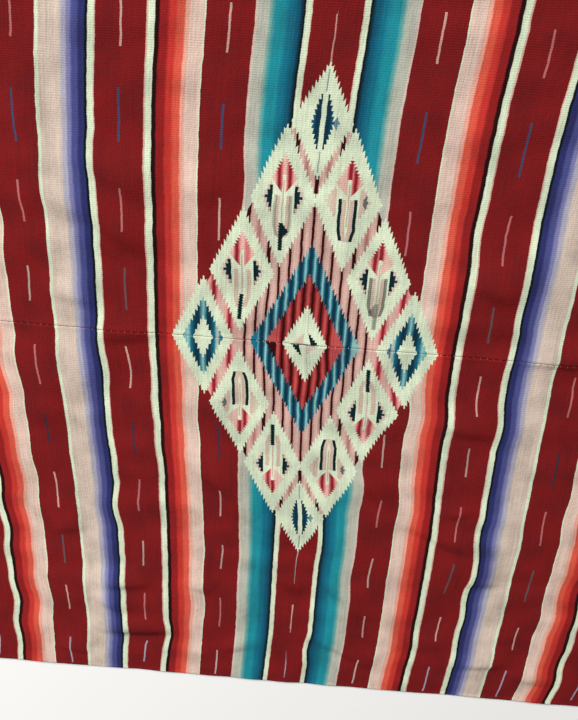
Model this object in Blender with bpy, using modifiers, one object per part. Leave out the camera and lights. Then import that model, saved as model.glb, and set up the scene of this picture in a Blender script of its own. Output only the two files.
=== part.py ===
"""A striped serape with a central diamond medallion, laid flat: two loom-width panels sewn together
along the middle, with the warp ends left as a fringe at both ends. Metres, +Z up.

+X runs along the warp, from fringe to fringe. +Y runs along the weft, across the seam.
The origin is on the surface that the cloth lies on, below the middle of the medallion.
"""

import math

import bpy
import bmesh

# Driving sizes
PANEL_WIDTH = 0.610  # one loom width, from selvedge to selvedge
WARP_LENGTH = 2.130  # woven length, without the fringe
FRINGE_REACH = 0.085  # how far the knotted warp ends lie past the last weft
CLOTH_WALL = 0.002  # thickness of the wool tapestry
FRINGE_WALL = 0.002  # the fringe cords lie side by side in one layer
JOIN_GAP = 0.0003  # gap kept between pieces that are sewn or woven together

# How finely a panel is divided
WARP_CELLS = 56
WEFT_CELLS = 16

# The largest soft ridges that the loose cloth makes as it lies. A ridge is highest at its middle and
# fades to nothing at its ends and sides, so the cloth between ridges rests flat.
#   name, middle x, middle y, turn from +X (degrees), half length, half width, height
RIDGES = (
    ("left_shoulder", -0.290, 0.175, -38.0, 0.130, 0.070, 0.0050),
    ("left_of_seam", -0.335, -0.060, 24.0, 0.150, 0.075, 0.0045),
    ("below_left_point", -0.165, -0.190, -33.0, 0.120, 0.065, 0.0040),
    ("lower_left_tuck", -0.265, -0.455, -12.0, 0.170, 0.070, 0.0060),
    ("lower_middle", 0.070, -0.470, 40.0, 0.140, 0.070, 0.0040),
    ("lower_right", 0.250, -0.330, 68.0, 0.140, 0.070, 0.0045),
    ("right_of_point", 0.245, 0.100, 28.0, 0.150, 0.070, 0.0050),
    ("upper_right", 0.330, 0.420, -30.0, 0.170, 0.080, 0.0045),
    ("upper_left", -0.420, 0.440, 18.0, 0.180, 0.080, 0.0050),
    ("far_left_upper", -0.800, 0.270, 74.0, 0.190, 0.085, 0.0055),
    ("far_left_lower", -0.690, -0.310, -50.0, 0.200, 0.090, 0.0060),
    ("far_right_upper", 0.720, 0.230, 57.0, 0.190, 0.090, 0.0055),
    ("far_right_lower", 0.830, -0.350, -66.0, 0.180, 0.085, 0.0050),
    ("right_middle", 0.560, -0.180, 14.0, 0.190, 0.080, 0.0045),
)

# One colour, roughness for each kind of yarn that a piece mostly shows
PANEL_YARN = ((0.190, 0.012, 0.014, 1.0), 0.92)
FRINGE_YARN = ((0.620, 0.560, 0.420, 1.0), 0.95)

COLLECTION = "serape"


def clear_scene():
    """Remove every object that the startup scene holds."""
    for leftover in list(bpy.data.objects):
        bpy.data.objects.remove(leftover, do_unlink=True)


def new_collection(name):
    """Add a collection to the scene."""
    group = bpy.data.collections.new(name)
    bpy.context.scene.collection.children.link(group)
    return group


def yarn_material(name, yarn):
    """A matt wool finish in one colour."""
    colour, roughness = yarn
    material = bpy.data.materials.new(name)
    material.use_nodes = True
    shader = material.node_tree.nodes["Principled BSDF"]
    shader.inputs["Base Color"].default_value = colour
    shader.inputs["Roughness"].default_value = roughness
    shader.inputs["Metallic"].default_value = 0.0
    return material


def ridge_height(x, y):
    """How high the underside of the cloth stands off the surface at a point."""
    height = 0.0
    for _, middle_x, middle_y, turn, half_length, half_width, peak in RIDGES:
        angle = math.radians(turn)
        away_x = x - middle_x
        away_y = y - middle_y
        along = (away_x * math.cos(angle) + away_y * math.sin(angle)) / half_length
        across = (away_y * math.cos(angle) - away_x * math.sin(angle)) / half_width
        reach = 1.0 - along * along - across * across
        if reach > 0.0:
            height = max(height, peak * reach * reach)
    return height


def add_wall(name, group, material, corner, size, cells, wall, form):
    """A sheet over a rectangle, raised by form(x, y), with its thickness added upwards.

    corner is the lowest x and y, and size and cells are given along x, then y.
    """
    sheet = bmesh.new()
    bmesh.ops.create_grid(sheet, x_segments=cells[0], y_segments=cells[1], size=0.5)
    for vertex in sheet.verts:
        x = corner[0] + (vertex.co.x + 0.5) * size[0]
        y = corner[1] + (vertex.co.y + 0.5) * size[1]
        vertex.co = (x, y, form(x, y))
    mesh = bpy.data.meshes.new(name)
    sheet.to_mesh(mesh)
    sheet.free()
    piece = bpy.data.objects.new(name, mesh)
    group.objects.link(piece)
    mesh.materials.append(material)
    thickness = piece.modifiers.new("thickness", "SOLIDIFY")
    thickness.thickness = wall
    thickness.offset = 1.0
    return piece


def flat(x, y):
    """The fringe lies flat on the surface."""
    return 0.0


def build_panel(name, group, side):
    """One loom-width panel on the +Y (side 1) or the -Y (side -1) side of the seam."""
    near = JOIN_GAP / 2
    lowest_y = near if side > 0 else -near - PANEL_WIDTH
    return add_wall(
        name,
        group,
        yarn_material(name, PANEL_YARN),
        (-WARP_LENGTH / 2, lowest_y),
        (WARP_LENGTH, PANEL_WIDTH),
        (WARP_CELLS, WEFT_CELLS),
        CLOTH_WALL,
        ridge_height,
    )


def build_fringe(name, group, end, side):
    """The plain reach of one panel's warp ends, past its +X (end 1) or its -X (end -1) edge."""
    start = WARP_LENGTH / 2 + JOIN_GAP
    lowest_x = start if end > 0 else -start - FRINGE_REACH
    near = JOIN_GAP / 2
    lowest_y = near if side > 0 else -near - PANEL_WIDTH
    return add_wall(
        name,
        group,
        yarn_material(name, FRINGE_YARN),
        (lowest_x, lowest_y),
        (FRINGE_REACH, PANEL_WIDTH),
        (1, 1),
        FRINGE_WALL,
        flat,
    )


def main():
    """Build the two panels and their four runs of fringe."""
    clear_scene()
    group = new_collection(COLLECTION)
    for row, side in (("upper", 1), ("lower", -1)):
        build_panel(f"panel_{row}", group, side)
        for place, end in (("left", -1), ("right", 1)):
            build_fringe(f"fringe_{place}_{row}", group, end, side)


main()
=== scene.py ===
"""A striped wool serape with a diamond medallion, laid flat with its fringe at both ends.

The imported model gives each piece's place, in metres. The weaver's chart, which the colours follow,
is in millimetres from the middle of the medallion: u runs across the stripes, and v along them.
"""

from __future__ import annotations

import logging
import math
from collections.abc import Callable, Sequence
from dataclasses import dataclass, field
from enum import Enum
from typing import Any, ClassVar

import bpy
import numpy as np
from mathutils import Matrix, Vector


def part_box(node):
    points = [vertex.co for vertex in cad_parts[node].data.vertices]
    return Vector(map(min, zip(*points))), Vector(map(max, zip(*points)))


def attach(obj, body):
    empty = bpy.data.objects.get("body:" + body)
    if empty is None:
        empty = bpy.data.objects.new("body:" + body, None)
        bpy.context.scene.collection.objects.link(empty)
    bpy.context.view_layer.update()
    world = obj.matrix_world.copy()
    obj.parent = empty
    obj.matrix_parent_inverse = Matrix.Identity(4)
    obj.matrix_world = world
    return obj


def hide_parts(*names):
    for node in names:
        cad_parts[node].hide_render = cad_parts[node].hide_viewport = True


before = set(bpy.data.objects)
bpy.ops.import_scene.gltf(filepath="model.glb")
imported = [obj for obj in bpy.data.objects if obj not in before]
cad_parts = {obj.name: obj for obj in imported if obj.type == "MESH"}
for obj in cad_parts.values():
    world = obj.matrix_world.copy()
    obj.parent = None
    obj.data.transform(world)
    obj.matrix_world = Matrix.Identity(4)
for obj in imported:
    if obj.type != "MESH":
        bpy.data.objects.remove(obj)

Colour = tuple[float, float, float, float]
Socket = bpy.types.NodeSocket

LOG = logging.getLogger("serape")
BODY = "root"
MM = 1000.0  # chart millimetres in a metre
SEED = 7


# ----- Yarns -----


class Yarn(Enum):
    """The colour of each yarn, as red, green and blue out of 255."""

    RED = (120, 25, 26)
    CREAM = (214, 225, 195)
    BLUSH = (210, 168, 152)
    BLACK = (9, 20, 22)
    SOOT = (36, 11, 11)
    NAVY = (10, 50, 68)
    DEEP_BLUE = (16, 84, 108)
    TEAL = (20, 108, 130)
    BRIGHT_TEAL = (30, 138, 150)
    PALE_TEAL = (98, 162, 156)
    STONE = (182, 183, 167)
    PALE_PINK = (220, 191, 175)
    SALMON = (228, 166, 147)
    ORANGE = (216, 88, 68)
    SCARLET = (194, 54, 46)
    DARK_RED = (145, 31, 31)
    INDIGO = (43, 48, 98)
    VIOLET = (72, 76, 130)
    LAVENDER = (122, 122, 166)
    BLUE_GREY = (168, 165, 178)
    INK_BLUE = (42, 76, 108)
    SHELL = (208, 188, 172)
    ROSE = (211, 174, 160)
    SHADED_ROSE = (176, 120, 112)
    MAROON = (48, 10, 10)
    CRIMSON = (140, 32, 40)
    BERRY = (206, 108, 110)
    TULIP_PINK = (228, 156, 148)
    HEAD_PINK = (224, 182, 167)
    SHADOW_PINK = (204, 178, 160)
    BOTTLE_GREEN = (6, 34, 36)
    STEEL_BLUE = (30, 92, 124)
    SKY = (142, 192, 186)
    MID_BLUE = (58, 126, 140)
    BRICK = (188, 82, 80)
    GREY = (84, 84, 86)
    DUSTY_PINK = (186, 112, 112)
    COTTON = (222, 216, 196)

    @property
    def colour(self) -> Colour:
        """The same colour in linear light."""
        red, green, blue = (linear(part / 255.0) for part in self.value)
        return (red, green, blue, 1.0)


def linear(part: float) -> float:
    """One part of a display colour as linear light."""
    return part / 12.92 if part <= 0.04045 else ((part + 0.055) / 1.055) ** 2.4


# ----- Node trees -----


class Graph:
    """One node tree while it is being filled."""

    COLUMN = 14  # nodes under each other before the next column starts
    WIDTH = 190
    HEIGHT = 170

    def __init__(self, tree: bpy.types.NodeTree) -> None:
        """Keep the tree that nodes are added to."""
        self.tree = tree

    def node(
        self,
        kind: str,
        settings: dict[str, Any] | None = None,
        sockets: dict[str | int, Any] | None = None,
    ) -> bpy.types.Node:
        """Add a node.

        Args:
            kind: The node's type.
            settings: Its settings, set first. "stops" holds a ramp's places and colours.
            sockets: A number, colour, vector or link for each input, by name or by number.

        Returns:
            The new node.
        """
        column, row = divmod(len(self.tree.nodes), self.COLUMN)
        node = self.tree.nodes.new(kind)
        node.location = (column * self.WIDTH, -row * self.HEIGHT)
        for name, setting in (settings or {}).items():
            if name == "stops":
                self._set_stops(node.color_ramp, setting)
            elif name == "interpolation":
                node.color_ramp.interpolation = setting
            else:
                setattr(node, name, setting)
        for key, given in (sockets or {}).items():
            self.feed(node.inputs[key], given)
        return node

    def feed(self, target: Socket, given: Any) -> None:
        """Link a value or a socket to an input, or set the input to a number, colour or yarn.

        Args:
            target: The input.
            given: What it gets.
        """
        source = given.socket if isinstance(given, Value) else given
        if isinstance(source, Yarn):
            source = source.colour
        if isinstance(source, Socket):
            self.tree.links.new(source, target)
        else:
            target.default_value = source

    def value(
        self,
        kind: str,
        settings: dict[str, Any] | None = None,
        sockets: dict[str | int, Any] | None = None,
        output: str | int = 0,
    ) -> Value:
        """Add a node as node() does, and return one of its outputs as a value."""
        return Value(self, self.node(kind, settings, sockets).outputs[output])

    def maths(self, operation: str, *terms: Any) -> Value:
        """Add a Math node on up to three terms."""
        return self.value("ShaderNodeMath", {"operation": operation}, dict(enumerate(terms)))

    def mix(self, amount: Any, below: Any, above: Any) -> Socket:
        """Lay one colour over another.

        Args:
            amount: How much of the upper colour shows, from 0 to 1.
            below: The colour that shows at 0.
            above: The colour that shows at 1.

        Returns:
            The mixed colour's socket.
        """
        node = self.node("ShaderNodeMix", {"data_type": "RGBA"}, {0: amount, 6: below, 7: above})
        return node.outputs[2]

    def point(self, x: Any, y: Any, z: Any = 0.0) -> Socket:
        """A vector of three values or numbers."""
        return self.node("ShaderNodeCombineXYZ", None, {0: x, 1: y, 2: z}).outputs[0]

    def noise(self, x: Any, y: Any, detail: float = 2.0, z: Any = 0.0) -> Value:
        """Smooth noise from 0 to 1, with about one lump to each unit of x and y."""
        sockets = {"Vector": self.point(x, y, z), "Scale": 1.0, "Detail": detail}
        return self.value("ShaderNodeTexNoise", None, sockets)

    def ramp(
        self, place: Value, stops: Sequence[tuple[float, Colour | Yarn]], between: str = "CONSTANT"
    ) -> Socket:
        """The colour at a place from 0 to 1, in steps unless another interpolation is given."""
        settings = {"stops": stops, "interpolation": between}
        return self.node("ShaderNodeValToRGB", settings, {0: place}).outputs[0]

    def chart(self, row: Value, numbers: Sequence[float]) -> Value:
        """The number, from 0 to 1, that stands at a whole row of a short list.

        Args:
            row: The whole number of the row.
            numbers: The list.

        Returns:
            The number at that row.
        """
        count = len(numbers)
        stops = [(k / count, (n, n, n, 1.0)) for k, n in enumerate(numbers)]
        return Value(self, self.ramp((row + 0.5) / count, stops))

    @staticmethod
    def _set_stops(ramp: bpy.types.ColorRamp, stops: Sequence[tuple[float, Colour | Yarn]]) -> None:
        """Give a ramp its stops, the first two of which it already has."""
        for spare in range(len(ramp.elements), len(stops)):
            ramp.elements.new(stops[spare][0])
        for element, (place, colour) in zip(ramp.elements, stops):
            element.position = place
            element.color = colour.colour if isinstance(colour, Yarn) else colour


def operator(operation: str, turned: bool = False) -> Callable[[Value, Value | float], Value]:
    """Make an operator's method from the name of a Math node's operation.

    Args:
        operation: The operation of the Math node.
        turned: Whether the other term comes first.

    Returns:
        The method, which adds the node.
    """

    def add_node(self: Value, other: Value | float) -> Value:
        """Add the Math node on this value and the other."""
        return self.graph.maths(operation, *((other, self) if turned else (self, other)))

    return add_node


class Value:
    """A socket that holds a number, with the usual operators.

    Comparisons give masks of 0 and 1: "*" is where both hold, "|" where either does and "~" where
    one doesn't.
    """

    __add__ = operator("ADD")
    __radd__ = operator("ADD", turned=True)
    __sub__ = operator("SUBTRACT")
    __rsub__ = operator("SUBTRACT", turned=True)
    __mul__ = operator("MULTIPLY")
    __truediv__ = operator("DIVIDE")
    __mod__ = operator("FLOORED_MODULO")
    __lt__ = operator("LESS_THAN")
    __gt__ = operator("GREATER_THAN")
    __or__ = operator("MAXIMUM")

    def __init__(self, graph: Graph, socket: Socket) -> None:
        """Keep the socket, and the graph that its sums are added to."""
        self.graph = graph
        self.socket = socket

    def __invert__(self) -> Value:
        """Where this mask doesn't hold."""
        return 1.0 - self

    def __abs__(self) -> Value:
        """Its size without its sign."""
        return self.graph.maths("ABSOLUTE", self)

    def floor(self) -> Value:
        """The whole number below it."""
        return self.graph.maths("FLOOR", self)

    def sine(self) -> Value:
        """Its sine, in radians."""
        return self.graph.maths("SINE", self)

    def near(self, middle: Value | float, reach: Value | float) -> Value:
        """1 within a reach of a middle, or else 0."""
        return self.graph.maths("COMPARE", self, middle, reach)

    def stretch(self, low: float, high: float) -> Value:
        """0 below the low number, 1 above the high one, and even between them."""
        sockets = {"Value": self, "From Min": low, "From Max": high}
        return self.graph.value("ShaderNodeMapRange", {"clamp": True}, sockets)


def stepped(steps: Sequence[Value], numbers: Sequence[float]) -> Value:
    """The first number, and each next one once its step is 1.

    Args:
        steps: Masks, each of which holds only where the one before it holds.
        numbers: One number more than there are steps.

    Returns:
        The number that holds at each point.
    """
    total: Any = numbers[0]
    for step, before, after in zip(steps, numbers, numbers[1:]):
        total = total + step * (after - before)
    return total


# ----- The weaver's chart -----


@dataclass(frozen=True)
class StripeGroup:
    """A run of stripes that ends in plain red ground."""

    start: float  # from where the run of groups begins
    stripes: tuple[tuple[Yarn, float, float], ...]  # yarn, width and blend into the next

    @property
    def width(self) -> float:
        """How wide the stripes are together."""
        return sum(width for _, width, _ in self.stripes)

    def paint(self, graph: Graph, ground: Any, across: Value) -> Socket:
        """Lay the stripes over the ground.

        Args:
            graph: The material's graph.
            ground: The colour before this group.
            across: The distance from where the run of groups begins.

        Returns:
            The colour with the group's stripes, and plain red past them.
        """
        stops = [(0.0, self.stripes[0][0])]
        following = [yarn for yarn, _, _ in self.stripes[1:]] + [Yarn.RED]
        place = 0.0
        for (yarn, width, blend), other in zip(self.stripes, following):
            place += width
            stops.append(((place - blend) / self.width, yarn))
            stops.append((place / self.width, other))
        colours = graph.ramp((across - self.start) / self.width, stops, "LINEAR")
        return graph.mix(across > self.start, ground, colours)


TEAL_STRIPES = (
    (Yarn.BLUSH, 1.2, 0.6),
    (Yarn.CREAM, 6.2, 0.8),
    (Yarn.BLACK, 2.6, 1.0),
    (Yarn.NAVY, 3.6, 2.6),
    (Yarn.DEEP_BLUE, 7.4, 5.6),
    (Yarn.TEAL, 8.4, 5.6),
    (Yarn.BRIGHT_TEAL, 13.0, 4.0),
    (Yarn.PALE_TEAL, 4.4, 4.0),
    (Yarn.STONE, 10.9, 1.0),
    (Yarn.SHELL, 2.8, 0.5),
)
ORANGE_STRIPES = (
    (Yarn.CREAM, 2.0, 0.6),
    (Yarn.PALE_PINK, 15.5, 1.0),
    (Yarn.SALMON, 5.5, 1.6),
    (Yarn.ORANGE, 9.5, 3.0),
    (Yarn.SCARLET, 8.5, 3.0),
    (Yarn.DARK_RED, 9.3, 1.4),
    (Yarn.SOOT, 4.7, 0.6),
    (Yarn.CREAM, 7.3, 0.6),
    (Yarn.BLUSH, 1.7, 0.5),
)
VIOLET_STRIPES = (
    (Yarn.BLUSH, 1.5, 0.5),
    (Yarn.CREAM, 7.1, 0.6),
    (Yarn.BLACK, 3.4, 1.2),
    (Yarn.INDIGO, 8.0, 2.6),
    (Yarn.VIOLET, 8.0, 3.0),
    (Yarn.LAVENDER, 4.7, 2.2),
    (Yarn.BLUE_GREY, 7.1, 3.4),
    (Yarn.SHELL, 23.2, 0.8),
    (Yarn.CREAM, 4.0, 0.5),
)


@dataclass(frozen=True)
class Stripes:
    """The stripe groups, mirrored about the middle and repeated out to both ends."""

    middle: float = 27.0  # half the red band in the middle
    period: float = 474.0
    groups: tuple[StripeGroup, ...] = (
        StripeGroup(0.0, TEAL_STRIPES),
        StripeGroup(112.5, ORANGE_STRIPES),
        StripeGroup(232.0, VIOLET_STRIPES),
        StripeGroup(353.0, ORANGE_STRIPES),
    )

    def paint(self, graph: Graph, u: Value) -> Socket:
        """The colour of the plain cloth.

        Args:
            graph: The material's graph.
            u: The distance across the stripes.

        Returns:
            The colour's socket.
        """
        beyond = abs(u) - self.middle
        across = beyond % self.period
        colour: Any = Yarn.RED
        for group in self.groups:
            colour = group.paint(graph, colour, across)
        return graph.mix(beyond > 0.0, Yarn.RED, colour)


@dataclass(frozen=True)
class Dashes:
    """Short lines laid in by hand, in rows, in the middle of every red band."""

    pitch: float = 104.0
    thickness: float = 1.25  # half of it
    shortest: float = 23.0  # half of it
    longest: float = 31.0
    wander: float = 13.0
    first_row: int = -6
    bands: tuple[float, ...] = (86.5, 204.0, 326.0, 446.6)  # past the middle band's edge
    between: tuple[float, ...] = (145.0, 265.0, 386.0)
    rows: tuple[Yarn, ...] = (
        Yarn.BLUE_GREY,
        Yarn.DUSTY_PINK,
        Yarn.GREY,
        Yarn.DUSTY_PINK,
        Yarn.NAVY,
        Yarn.DUSTY_PINK,
        Yarn.GREY,
        Yarn.DUSTY_PINK,
        Yarn.INK_BLUE,
        Yarn.DUSTY_PINK,
        Yarn.GREY,
        Yarn.INK_BLUE,
    )

    def paint(self, graph: Graph, cloth: Any, u: Value, v: Value, stripes: Stripes) -> Socket:
        """Lay the dashes over the cloth.

        Args:
            graph: The material's graph.
            cloth: The colour of the striped cloth.
            u: The distance across the stripes.
            v: The distance along them.
            stripes: The stripes whose red bands hold the dashes.

        Returns:
            The colour with the dashes.
        """
        beyond = abs(u) - stripes.middle
        across = beyond % stripes.period
        steps = [across > edge for edge in self.between]
        band = stepped(steps, self.bands)
        row = (v / self.pitch).floor()
        column = band + (beyond / stripes.period).floor() * 97.0 + (u > 0.0) * 41.0
        drawn = graph.node(
            "ShaderNodeTexWhiteNoise", {"noise_dimensions": "2D"}, {0: graph.point(column, row)}
        )
        parts = graph.node("ShaderNodeSeparateColor", None, {0: drawn.outputs["Color"]})
        slant, bend, place = (Value(graph, parts.outputs[k]) - 0.5 for k in range(3))
        length = Value(graph, drawn.outputs["Value"])
        along = v - (row + 0.5) * self.pitch - place * self.wander
        aside = across - band - along * slant * 0.05 - along * along * bend * 0.0018
        reach = self.shortest + length * (self.longest - self.shortest)
        mask = aside.near(0.0, self.thickness) * along.near(0.0, reach)
        stops = [(k / len(self.rows), yarn) for k, yarn in enumerate(self.rows)]
        colour = graph.ramp((row - self.first_row + 0.5) / len(self.rows), stops)
        paler = graph.mix((bend > 0.2) * 0.6, colour, Yarn.PALE_PINK)
        return graph.mix(mask * 0.85, cloth, paler)


@dataclass(frozen=True)
class Teeth:
    """The steps that a slanted edge takes in tapestry."""

    pitch: float = 3.1
    reach: float = 9.6
    start: float = 0.7  # of a tooth, at the middle of the shape

    def along(self, distance: Value) -> Value:
        """How far the edge stands out at a distance, which rises through a tooth and drops."""
        return ((distance / self.pitch + self.start) % 1.0 - 0.5) * self.reach

    def covers(self, v: Value, room: Value, u: Value) -> Value:
        """Where a shape's toothed edge covers.

        Args:
            v: The distance from the shape's middle along the stripes.
            room: How far the plain edge is from the middle in that direction.
            u: The distance from the middle across the stripes.

        Returns:
            The mask, whose teeth grow small towards the corners.
        """
        return v < room + self.along(u) * room.stretch(-3.0, 14.0) * u.stretch(-1.0, 4.0)


@dataclass(frozen=True)
class Rhombus:
    """A stepped diamond shape, by its middle and its half sizes."""

    u: float
    v: float
    half_width: float
    half_height: float

    def mask(self, u: Value, v: Value, teeth: Teeth) -> Value:
        """Where it covers, from distances to its middle without their signs."""
        slope = self.half_height / self.half_width
        return teeth.covers(v, self.half_height - u * slope, u)


@dataclass(frozen=True)
class Tulip:
    """Which of its parts one woven tulip has, each from 0 to 1."""

    inner_bar: float
    outer_bar: float
    middle_bar: float
    dark_leaves: float
    stem_lines: float
    stem_end: float


@dataclass(frozen=True)
class Medallion:
    """The diamond in the middle: a ring of twelve cream rhombi round three nested diamonds.

    It is drawn in one quarter and mirrored, and each tulip then has its own parts.
    """

    ring: tuple[Rhombus, ...] = (
        Rhombus(0.0, 273.5, 35.0, 63.0),
        Rhombus(38.5, 185.5, 40.5, 84.0),
        Rhombus(84.8, 92.0, 40.0, 79.0),
        Rhombus(132.0, 0.0, 40.5, 82.0),
    )
    slope: float = 2.1  # of the gaps between the rhombi
    gaps: tuple[float, ...] = (196.0, 7.0, -184.0)
    blue: Rhombus = Rhombus(0.0, 0.0, 71.0, 133.0)
    red: Rhombus = Rhombus(0.0, 0.0, 51.0, 95.0)
    heart: Rhombus = Rhombus(0.0, 0.0, 29.0, 53.0)
    ring_height: float = 186.0  # of the ground inside the ring
    ground_height: float = 328.0  # of all the ground
    ground_slope: float = 1.98
    pinstripe: float = 13.0
    glow_start: float = 88.0  # past which the gaps glow crimson, in two lines
    glow_lines: tuple[float, float] = (98.0, 119.0)
    blue_pitch: float = 11.2
    blue_corner: float = 61.0  # where the plain corners start
    red_pitch: float = 11.6
    red_corner: float = 37.0
    head_foot: float = 4.0  # of a tulip, from its rhombus's middle
    head_top: float = 50.0
    stem: float = 2.1  # half of a tulip's
    leaf_start: float = 13.6  # of a tulip's leaves, from its stem
    leaf_middle: float = 1.5
    teeth: Teeth = Teeth()
    small_teeth: Teeth = Teeth(3.4, 3.4)
    leaf_teeth: Teeth = Teeth(5.6, 4.2)
    side_ring: tuple[Rhombus, Rhombus] = (Rhombus(0.0, 0.0, 26.0, 54.0), Rhombus(0.0, 0.0, 13.0, 29.0))
    side_shades: tuple[tuple[float, Yarn], ...] = (  # across each side ring, outwards
        (-25.0, Yarn.TEAL),
        (-21.5, Yarn.MID_BLUE),
        (-19.5, Yarn.SHADOW_PINK),
        (-17.5, Yarn.SKY),
        (-15.0, Yarn.TEAL),
        (-9.5, Yarn.NAVY),
        (-5.0, Yarn.NAVY),
        (-2.8, Yarn.MID_BLUE),
        (0.0, Yarn.SKY),
        (2.8, Yarn.MID_BLUE),
        (5.0, Yarn.NAVY),
        (10.0, Yarn.NAVY),
        (15.5, Yarn.TEAL),
        (19.0, Yarn.SKY),
        (25.0, Yarn.PALE_TEAL),
    )
    tulips: tuple[Tulip, ...] = (  # shoulders, then flanks: upper left, upper right, lower pair
        Tulip(1.0, 1.0, 0.0, 1.0, 0.4, 1.0),
        Tulip(0.0, 1.0, 1.0, 0.0, 1.0, 0.0),
        Tulip(0.0, 0.9, 1.0, 1.0, 0.0, 1.0),
        Tulip(1.0, 1.0, 0.0, 0.0, 1.0, 0.0),
        Tulip(0.5, 1.0, 0.0, 1.0, 0.0, 1.0),
        Tulip(1.0, 0.0, 1.0, 1.0, 0.7, 0.6),
        Tulip(1.0, 0.0, 1.0, 0.0, 1.0, 0.0),
        Tulip(1.0, 0.8, 0.0, 1.0, 0.0, 1.0),
    )

    def paint(self, graph: Graph, cloth: Any, u: Value, v: Value) -> Socket:
        """Lay the medallion over the striped cloth.

        Args:
            graph: The material's graph.
            cloth: The colour of the striped cloth.
            u: The distance across the stripes.
            v: The distance along them.

        Returns:
            The colour with the medallion.
        """
        across = abs(u)
        along = abs(v)
        colour = self._ground(graph, cloth, across, along)
        colour = self._blue_diamond(graph, colour, u, across, along)
        colour = self._red_diamond(graph, colour, u, v)
        colour = self._heart(graph, colour, u, v)
        return self._ring(graph, colour, u, v)

    def _ground(self, graph: Graph, cloth: Any, across: Value, along: Value) -> Socket:
        """The rose ground with its maroon pinstripes, which are wider apart in the gaps.

        Args:
            graph: The material's graph.
            cloth: The colour of the striped cloth.
            across: The distance across the stripes, without its sign.
            along: The distance along them, without its sign.

        Returns:
            The colour with the ground.
        """
        inside = along < self.ground_height - across * self.ground_slope
        near_middle = along < self.ring_height - across * 2.0
        phase = across % self.pinstripe
        line = phase.near(0.0, 1.5) | phase.near(self.pinstripe, 1.5)
        wide = across % (self.pinstripe * 2.0)
        wide_line = wide.near(0.0, 2.3) | wide.near(self.pinstripe * 2.0, 2.3)
        in_gap = (~near_middle) * (across < 84.0)
        lines = line * near_middle | wide_line * in_gap
        halo = graph.maths("PINGPONG", across, self.pinstripe / 2.0).stretch(0.8, 4.8)
        rose = graph.mix(halo, Yarn.SHADED_ROSE, Yarn.ROSE)
        colour = graph.mix(lines, rose, Yarn.MAROON)
        from_glow = graph.maths("MINIMUM", *(abs(across - line) for line in self.glow_lines))
        glow = from_glow.stretch(7.5, 0.5) * (~near_middle)
        stops = ((0.0, Yarn.ROSE), (0.35, Yarn.TULIP_PINK), (0.62, Yarn.BERRY), (0.90, Yarn.CRIMSON))
        colour = graph.mix(across > self.glow_start, colour, graph.ramp(glow, stops, "LINEAR"))
        return graph.mix(inside, cloth, colour)

    def _blue_diamond(self, graph: Graph, below: Any, u: Value, across: Value, along: Value) -> Socket:
        """The outer diamond, shaded from navy to pale blue and back in every stripe.

        Args:
            graph: The material's graph.
            below: The colour beneath.
            u: The distance across the stripes.
            across: The distance across the stripes, without its sign.
            along: The distance along them, without its sign.

        Returns:
            The colour with the diamond.
        """
        shade = graph.maths("PINGPONG", across, self.blue_pitch / 2.0) / (self.blue_pitch / 2.0)
        stops = ((0.22, Yarn.NAVY), (0.46, Yarn.DEEP_BLUE), (0.68, Yarn.MID_BLUE), (0.94, Yarn.SKY))
        stripes = graph.ramp(shade, stops, "LINEAR")
        corner = graph.mix(u > 0.0, Yarn.TEAL, Yarn.SKY)
        colour = graph.mix(across > self.blue_corner, stripes, corner)
        return graph.mix(self.blue.mask(across, along, self.teeth), below, colour)

    def _red_diamond(self, graph: Graph, below: Any, u: Value, v: Value) -> Socket:
        """The middle diamond, in brick and maroon stripes with plain side corners.

        Args:
            graph: The material's graph.
            below: The colour beneath.
            u: The distance across the stripes.
            v: The distance along them.

        Returns:
            The colour with the diamond.
        """
        across = abs(u)
        shade = graph.maths("PINGPONG", across, self.red_pitch / 2.0) / (self.red_pitch / 2.0)
        stops = ((0.10, Yarn.BRICK), (0.52, Yarn.DARK_RED), (0.86, Yarn.MAROON))
        stripes = graph.ramp(shade, stops, "LINEAR")
        lower_left = (u < 0.0) * (v < 0.0)
        corner = graph.mix(lower_left, Yarn.BRICK, Yarn.MAROON)
        colour = graph.mix(across > self.red_corner, stripes, corner)
        return graph.mix(self.red.mask(across, abs(v), self.teeth), below, colour)

    def _heart(self, graph: Graph, below: Any, u: Value, v: Value) -> Socket:
        """The cream diamond in the middle, with two half arrows turned about its centre.

        Args:
            graph: The material's graph.
            below: The colour beneath.
            u: The distance across the stripes.
            v: The distance along them.

        Returns:
            The colour with the diamond.
        """
        side = u * ((v > 0.0) * 2.0 - 1.0)
        along = abs(v)
        left = 16.5 - along
        ragged = self.small_teeth.along(along) * 0.9
        flame = (side > 3.5 + left * 0.24) * (side < 4.5 + left * 0.78 + ragged) * (left > 0.0)
        blush = (side < -2.0) * (along < (side + 17.0) * 1.05 + self.small_teeth.along(side))
        colour = graph.mix(blush * 0.8, Yarn.CREAM, Yarn.SHADOW_PINK)
        colour = graph.mix(u.near(2.5, 0.8) * (along > 18.0) * 0.6, colour, Yarn.STONE)
        colour = graph.mix(flame, colour, Yarn.BOTTLE_GREEN)
        colour = graph.mix(v.near(0.0, 1.1) * u.near(0.0, 13.0) * 0.8, colour, Yarn.GREY)
        return graph.mix(self.heart.mask(abs(u), along, self.teeth), below, colour)

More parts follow.
